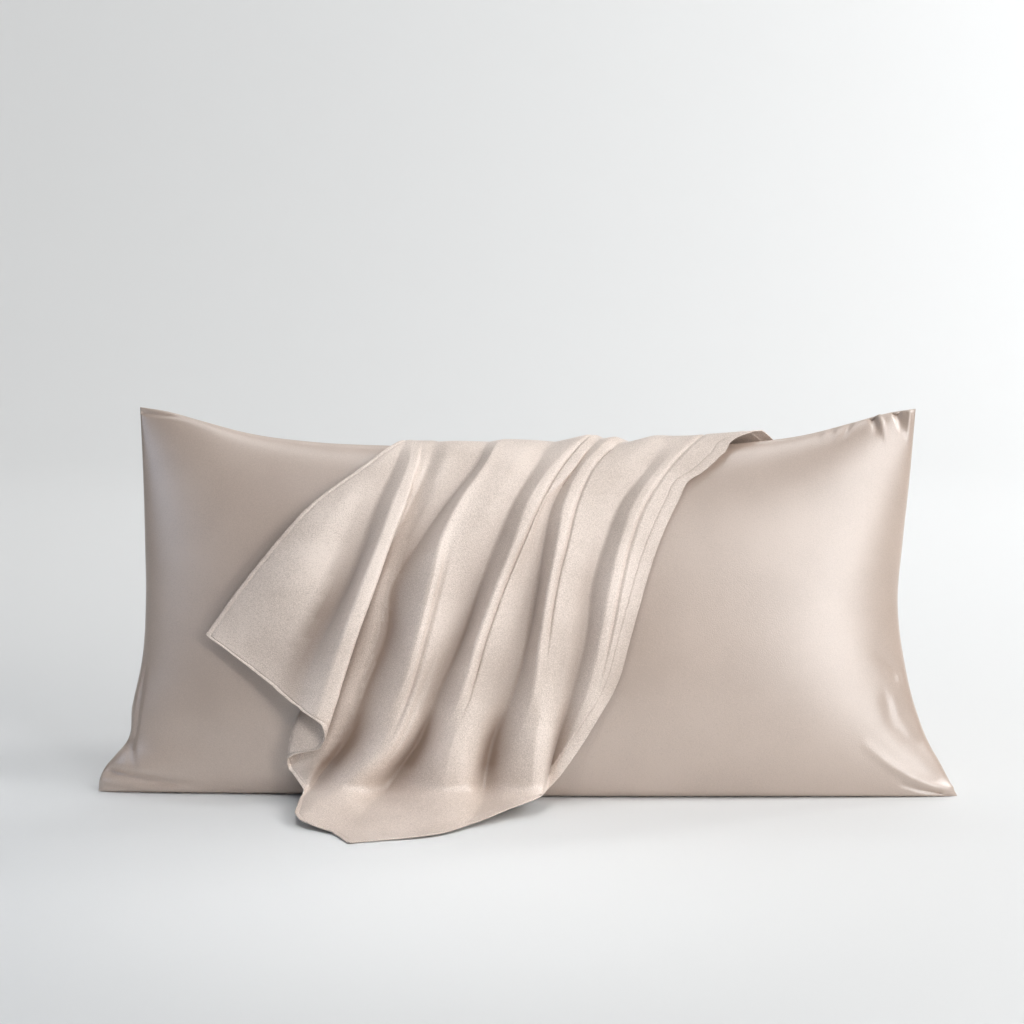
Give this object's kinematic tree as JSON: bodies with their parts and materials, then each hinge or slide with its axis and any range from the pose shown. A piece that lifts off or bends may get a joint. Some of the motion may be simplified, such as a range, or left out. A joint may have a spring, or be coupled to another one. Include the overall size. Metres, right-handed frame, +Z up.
{
  "type": "pillowcase draped over a filled pillow",
  "caption": "Satin king-size pillowcase draped in folds over the top edge of a filled pillow in its matching case, which stands on its long edge.",
  "frame": {"origin": "in the flat foot on which the pillow stands, under the middle of its bottom seam", "axes": "+X along the pillow to its right end seen from the front, -Y towards the front with the folds, +Z up"},
  "size_m": [0.993, 0.377, 0.441],
  "materials": {
    "satin_over_filling": "champagne satin, soft wide gloss",
    "satin_draped": "champagne satin, soft wide gloss"
  },
  "bodies": {
    "root": {"pillow": "satin_over_filling", "draped_case": "satin_draped"}
  },
  "joints": []
}
